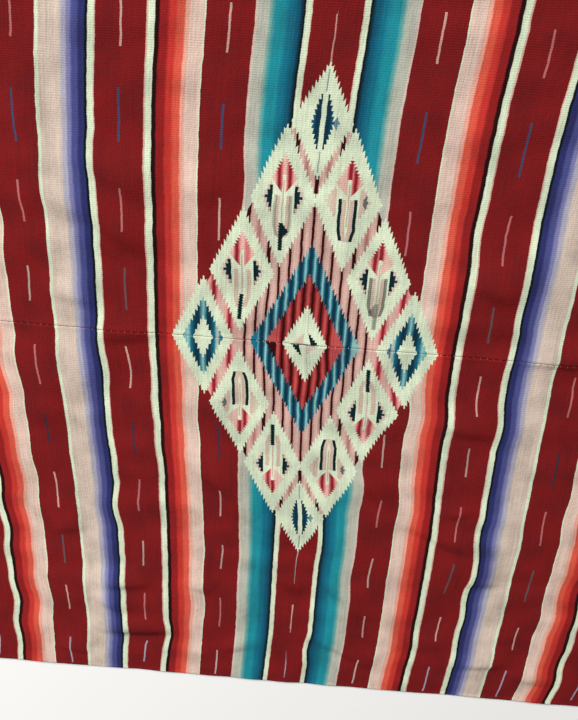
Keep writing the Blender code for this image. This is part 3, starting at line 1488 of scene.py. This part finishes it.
class PieceTree:
    """A geometry node tree that grows one kind of piece from named inputs."""

    NAME: ClassVar[str]
    INPUTS: ClassVar[dict[str, str]]  # the kind of each input

    def __init__(self) -> None:
        """Build the tree: its inputs, what shape() makes of them, and the material."""
        tree = bpy.data.node_groups.new(self.NAME, "GeometryNodeTree")
        tree.is_modifier = True
        add = tree.interface.new_socket
        add(name="Geometry", in_out="OUTPUT", socket_type="NodeSocketGeometry")
        self.identifiers = {
            label: add(name=label, in_out="INPUT", socket_type="NodeSocket" + kind).identifier
            for label, kind in self.INPUTS.items()
        }
        self.graph = Graph(tree)
        outputs = self.graph.node("NodeGroupInput").outputs
        self.given: dict[str, Any] = {
            label: Value(self.graph, outputs[label]) if kind in ("Float", "Int") else outputs[label]
            for label, kind in self.INPUTS.items()
        }
        dressed = self.part("SetMaterial", {0: self.shape(), "Material": self.given["Material"]})
        self.graph.node("NodeGroupOutput", None, {0: dressed})

    def shape(self) -> Socket:
        """The piece's mesh, with nothing left as an instance."""
        raise NotImplementedError

    def part(
        self, kind: str, sockets: dict[str | int, Any], settings: dict[str, Any] | None = None
    ) -> Socket:
        """Add a geometry node by the end of its type's name, and return its first output."""
        return self.graph.node("GeometryNode" + kind, settings, sockets).outputs[0]

    def row(self, offset: Socket) -> Socket:
        """Points from the start, each an offset on from the one before.

        Args:
            offset: The step from point to point.

        Returns:
            The points.
        """
        count, start = self.given["Count"], self.given["Start"]
        sockets = {"Count": count, "Start Location": start, "Offset": offset}
        return self.part("MeshLine", sockets, {"mode": "OFFSET"})

    def copies(self, points: Socket, shape: Socket, **placing: Any) -> Socket:
        """A real copy of a shape at each point."""
        placed = self.part("InstanceOnPoints", {"Points": points, "Instance": shape, **placing})
        return self.part("RealizeInstances", {0: placed})

    def tube(self, path: Socket, section: Socket) -> Socket:
        """A tube along each path, with closed ends."""
        return self.part("CurveToMesh", {"Curve": path, "Profile Curve": section, "Fill Caps": True})

    def grow(self, name: str, settings: dict[str, Any]) -> bpy.types.Object:
        """Run the tree once and keep its result as a plain mesh object.

        Args:
            name: The new piece's name.
            settings: The value of each input by name.

        Returns:
            The piece, with no modifier on it.
        """
        seedling = bpy.data.objects.new(name + "_tree", bpy.data.meshes.new(name + "_tree"))
        bpy.context.scene.collection.objects.link(seedling)
        modifier = seedling.modifiers.new("grow", "NODES")
        modifier.node_group = self.graph.tree
        for label, setting in settings.items():
            modifier[self.identifiers[label]] = setting
        evaluated = seedling.evaluated_get(bpy.context.evaluated_depsgraph_get())
        mesh = bpy.data.meshes.new_from_object(evaluated)
        mesh.name = name
        bpy.data.objects.remove(seedling, do_unlink=True)
        return add_piece(name, mesh)


class FringeTree(PieceTree):
    """One run of fringe: twisted cords, each with a knot near the cloth."""

    NAME = "fringe"
    BENDS = 23  # points along a cord
    SIDES = 6
    NUDGE = 0.16  # how far a cord may be off its place, as a part of the spacing
    SHORTEST = -0.14  # how much a cord may lose, as a part of the reach
    FLATNESS = 0.62
    INPUTS = {
        "Count": "Int",
        "Start": "Vector",
        "Spacing": "Float",
        "Reach": "Float",
        "Thickness": "Float",
        "Turns": "Float",
        "Lean": "Float",
        "Knot": "Float",
        "Seed": "Int",
        "Material": "Material",
    }

    def shape(self) -> Socket:
        """The cords and their knots together.

        Returns:
            The mesh.
        """
        points = self._points()
        cords = self._cords(points)
        joined = self.graph.node("GeometryNodeJoinGeometry")
        for part in (self._knots(points), cords):
            self.graph.feed(joined.inputs[0], part)
        return joined.outputs[0]

    def _points(self) -> Socket:
        """A point for each cord along the cloth's end, not quite evenly spaced.

        Returns:
            The points.
        """
        spacing = self.given["Spacing"]
        line = self.row(self.graph.point(0.0, spacing))
        nudge = self._random(-self.NUDGE, self.NUDGE, 1) * spacing
        return self.part("SetPosition", {0: line, "Offset": self.graph.point(0.0, nudge)})

    def _random(self, low: float, high: float, salt: int) -> Value:
        """A number between two others for each element, from the seed and a salt."""
        sockets = {2: low, 3: high, "Seed": self.given["Seed"] * 17.0 + float(salt)}
        return self.graph.value("FunctionNodeRandomValue", {"data_type": "FLOAT"}, sockets, 1)

    def _each(self, low: float, high: float, salt: int) -> Value:
        """A number between two others for each whole cord.

        Args:
            low: The lower number.
            high: The higher number.
            salt: A number that sets this draw apart.

        Returns:
            The number.
        """
        settings = {"domain": "CURVE", "data_type": "FLOAT"}
        drawn = self._random(low, high, salt)
        return self.graph.value("GeometryNodeFieldOnDomain", settings, {0: drawn})

    def _cords(self, points: Socket) -> Socket:
        """Cords that lean, sway and end unevenly, with an oval section turned along them.

        Args:
            points: A point for each cord.

        Returns:
            The cords.
        """
        graph, given = self.graph, self.given
        line = self.part("CurvePrimitiveLine", {"End": graph.point(given["Reach"], 0.0)})
        paths = self.copies(points, self.part("ResampleCurve", {0: line, "Count": self.BENDS}))
        along = graph.value("GeometryNodeSplineParameter", None, None, "Factor")
        shorter = along * self._each(self.SHORTEST, 0.0, 2) * given["Reach"]
        lean = along * along * self._each(-1.0, 1.0, 3) * given["Lean"]
        sway = (along * self._each(3.0, 6.0, 4) + self._each(0.0, 6.0, 5)).sine() * along
        aside = lean + sway * given["Lean"] * 0.3
        moved = self.part("SetPosition", {0: paths, "Offset": graph.point(shorter, aside)})
        turn = (along * given["Turns"] + self._each(0.0, 1.0, 6)) * math.tau
        twisted = self.part("SetCurveTilt", {0: moved, "Tilt": turn})
        taper = 1.0 - along.stretch(0.8, 1.0) * 0.35
        thinned = self.part("SetCurveRadius", {0: twisted, "Radius": taper})
        circle = self.part("CurvePrimitiveCircle", {"Resolution": self.SIDES, "Radius": 1.0})
        wide = given["Thickness"] * 0.5
        flat = graph.point(wide, wide * self.FLATNESS, 1.0)
        oval = self.part("Transform", {0: circle, "Scale": flat})
        return self.tube(thinned, oval)

    def _knots(self, points: Socket) -> Socket:
        """An overhand knot on each cord, as a low squashed ball.

        Args:
            points: A point for each cord.

        Returns:
            The knots.
        """
        graph, given = self.graph, self.given
        ball = self.part("MeshUVSphere", {"Segments": 8, "Rings": 5, "Radius": 1.0})
        out = graph.maths("SIGN", given["Reach"]) * given["Knot"]
        moved = self.part("SetPosition", {0: points, "Offset": graph.point(out, 0.0)})
        size = given["Thickness"] * self._random(0.88, 1.08, 7)
        return self.copies(moved, ball, Scale=graph.point(size * 1.15, size, size * 0.66))


@dataclass
class Fringe:
    """The knotted warp ends past one end of a panel."""

    node: str
    end: RowEnd
    seed: int
    spacing: float = 0.0125
    thickness: float = 0.0034
    turns: float = 4.5
    lean: float = 0.0055
    knot: float = 0.009
    overlap: float = 0.001  # how far a cord starts inside the cloth's edge
    lift: float = 0.72  # of the cords' middle off the surface, as a part of their thickness

    def build(self, tree: FringeTree, material: bpy.types.Material) -> bpy.types.Object:
        """Grow the fringe within its solid's reach.

        Args:
            tree: The shared fringe tree.
            material: The cord's material.

        Returns:
            The fringe, named for its place.
        """
        low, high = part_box(self.node)
        near, far = (low[0], high[0]) if self.end is RowEnd.RIGHT else (high[0], low[0])
        start = near - self.end.value * self.overlap
        count = int((high[1] - low[1] - self.lean) / self.spacing)
        margin = (high[1] - low[1] - (count - 1) * self.spacing) / 2.0
        settings = {
            "Count": count,
            "Start": (start, low[1] + margin, self.thickness * self.lift),
            "Spacing": self.spacing,
            "Reach": far - start,
            "Thickness": self.thickness,
            "Turns": self.turns,
            "Lean": self.lean,
            "Knot": self.knot,
            "Seed": self.seed,
            "Material": material,
        }
        return tree.grow(self.node + "_cords", settings)


class StitchTree(PieceTree):
    """A row of stitches, each one arched thread."""

    NAME = "seam_stitches"
    INPUTS = {
        "Count": "Int",
        "Start": "Vector",
        "Spacing": "Float",
        "Length": "Float",
        "Arch": "Float",
        "Thickness": "Float",
        "Slant": "Float",
        "Seed": "Int",
        "Material": "Material",
    }

    def shape(self) -> Socket:
        """A copy of the thread at each place, with its own slant.

        Returns:
            The mesh.
        """
        graph, given = self.graph, self.given
        half = given["Length"] * 0.5
        low = given["Arch"] * -1.0
        bends = {
            "Start": graph.point(0.0, half * -1.0, low),
            "Middle": graph.point(0.0, 0.0, given["Arch"]),
            "End": graph.point(0.0, half, low),
        }
        thread = self.part("CurveQuadraticBezier", {"Resolution": 6, **bends})
        radius = given["Thickness"] * 0.5
        circle = self.part("CurvePrimitiveCircle", {"Resolution": 5, "Radius": radius})
        sockets = {2: 0.55, 3: 1.25, "Seed": given["Seed"]}
        slant = graph.value("FunctionNodeRandomValue", {"data_type": "FLOAT"}, sockets, 1)
        turn = graph.point(0.0, 0.0, slant * given["Slant"])
        places = self.row(graph.point(given["Spacing"], 0.0))
        return self.copies(places, self.tube(thread, circle), Rotation=turn)


@dataclass
class Seam:
    """The overcast stitches that join the two panels along the middle."""

    drape: Drape
    wall: float = 0.002
    spacing: float = 0.0085
    length: float = 0.0052
    arch: float = 0.0005
    thickness: float = 0.0007
    slant: float = 0.45  # radians

    def build(self, material: bpy.types.Material) -> bpy.types.Object:
        """Grow the stitches and lay them on the seam.

        Args:
            material: The thread's material.

        Returns:
            The stitches.
        """
        low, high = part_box("panel_upper")
        reach = high[0] - low[0] - 2.0 * self.spacing
        settings = {
            "Count": int(reach / self.spacing),
            "Start": (low[0] + self.spacing, 0.0, 0.0),
            "Spacing": self.spacing,
            "Length": self.length,
            "Arch": self.arch,
            "Thickness": self.thickness,
            "Slant": self.slant,
            "Seed": SEED,
            "Material": material,
        }
        piece = StitchTree().grow("seam_stitches", settings)
        for vertex in piece.data.vertices:
            x = np.array([vertex.co.x])
            vertex.co.z += float(self.drape.height(x, np.zeros(1))[0]) + self.wall + 0.0001
        return piece


# ----- The studio -----


@dataclass(frozen=True)
class Lamp:
    """A soft square white light, by its place, size and power."""

    name: str
    place: tuple[float, float, float]
    size: float
    power: float

    def build(self, aim: Vector) -> None:
        """Add the light, turned to a point.

        Args:
            aim: The point.
        """
        data = bpy.data.lights.new(self.name, "AREA")
        data.size = self.size
        data.energy = self.power
        lamp = bpy.data.objects.new(self.name, data)
        bpy.context.scene.collection.objects.link(lamp)
        lamp.location = self.place
        lamp.rotation_mode = "QUATERNION"
        lamp.rotation_quaternion = (aim - Vector(self.place)).to_track_quat("-Z", "Y")


@dataclass(frozen=True)
class Viewpoint:
    """The camera: what it looks at, from how far, and how it is turned, in degrees."""

    target: tuple[float, float, float] = (-0.0270, -0.0252, 0.0)
    distance: float = 0.9085
    tilt: float = 24.76  # away from straight down
    pan: float = -0.70
    roll: float = 4.52
    lens: float = 34.65

    def build(self) -> None:
        """Add the camera and make it the scene's."""
        tilt, pan, roll = (math.radians(turn) for turn in (self.tilt, self.pan, self.roll))
        right = Vector((1.0, 0.0, 0.0))
        up = Vector((0.0, math.cos(tilt), -math.sin(tilt)))
        back = Vector((0.0, math.sin(tilt), math.cos(tilt)))
        panned = right * math.cos(pan) + back * math.sin(pan)
        back = back * math.cos(pan) - right * math.sin(pan)
        side = panned * math.cos(roll) + up * math.sin(roll)
        top = up * math.cos(roll) - panned * math.sin(roll)
        data = bpy.data.cameras.new("camera")
        data.lens = self.lens
        data.clip_start = 0.05
        camera = bpy.data.objects.new("camera", data)
        bpy.context.scene.collection.objects.link(camera)
        turned = Matrix((side, top, back)).transposed().to_4x4()
        camera.matrix_world = Matrix.Translation(Vector(self.target) + back * self.distance) @ turned
        bpy.context.scene.camera = camera


@dataclass(frozen=True)
class Studio:
    """A plain pale floor, a soft light from beyond the far edge, a weak one aside, and a fill."""

    floor_size: float = 14.0
    floor_colour: Colour = (0.80, 0.79, 0.77, 1.0)
    fill: float = 0.18
    lamps: tuple[Lamp, ...] = (
        Lamp("key", (-3.4, 7.6, 5.4), 3.0, 1350.0), Lamp("side", (-2.0, -0.8, 2.4), 1.6, 39.0)
    )
    viewpoint: Viewpoint = Viewpoint()

    def build(self) -> None:
        """Add the floor, the lights, the world and the camera."""
        material, graph, shader = new_material("pale_floor")
        place = graph.node("ShaderNodeTexCoord").outputs["Object"]
        cloud = graph.value("ShaderNodeTexNoise", None, {"Vector": place, "Scale": 3.0})
        graph.feed(shader.inputs["Base Color"], self.floor_colour)
        graph.feed(shader.inputs["Roughness"], 0.75 + cloud * 0.1)
        half = self.floor_size / 2.0
        mesh = bpy.data.meshes.new("floor")
        corners = [(-half, -half), (half, -half), (half, half), (-half, half)]
        mesh.from_pydata([(x, y, -0.0004) for x, y in corners], [], [(0, 1, 2, 3)])
        mesh.materials.append(material)
        floor = bpy.data.objects.new("floor", mesh)
        bpy.context.scene.collection.objects.link(floor)
        for lamp in self.lamps:
            lamp.build(Vector((0.0, 0.0, 0.0)))
        world = bpy.data.worlds.new("studio")
        world.use_nodes = True
        background = world.node_tree.nodes["Background"]
        background.inputs["Color"].default_value = (1.0, 1.0, 1.0, 1.0)
        background.inputs["Strength"].default_value = self.fill
        bpy.context.scene.world = world
        bpy.context.scene.view_settings.view_transform = "Standard"
        self.viewpoint.build()


# ----- The serape -----


@dataclass
class Serape:
    """The whole garment: two panels, their four runs of fringe and the seam between them."""

    drape: Drape = field(default_factory=Drape)
    flat: tuple[float, float] = (0.61, 2.13)  # a panel's cut, as it comes off the loom

    def build(self) -> None:
        """Make every piece, and hide the solids that each stands for."""
        tapestry = TapestryFinish().material()
        cord = CordFinish().material()
        tree = FringeTree()
        seam = self._finish(Seam(self.drape).build(SeamThreadFinish().material()), (), "tapestry_weave")
        for row, name in enumerate(("upper", "lower")):
            node = "panel_" + name
            panel = self._finish(Panel(node, self.drape).build(tapestry), (node,), "tapestry_weave")
            for order, end in enumerate(RowEnd):
                fringe_node = f"fringe_{end.name.lower()}_{name}"
                fringe = Fringe(fringe_node, end, SEED + 2 * row + order)
                self._finish(fringe.build(tree, cord), (fringe_node,), "warp_fringe")

    @staticmethod
    def _finish(piece: bpy.types.Object, nodes: tuple[str, ...], slot: str) -> bpy.types.Object:
        """Fix a piece to the body, hide the solids that it stands for and report it.

        Args:
            piece: The finished piece.
            nodes: The solids that it stands for.
            slot: Not used.

        Returns:
            The same piece.
        """
        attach(piece, BODY)
        if nodes:
            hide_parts(*nodes)
        report(piece)
        return piece


def main() -> None:
    """Build the studio and the serape."""
    logging.basicConfig(level=logging.INFO, format="%(message)s")
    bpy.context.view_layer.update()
    Studio().build()
    Serape().build()


if __name__ == "__main__":
    main()
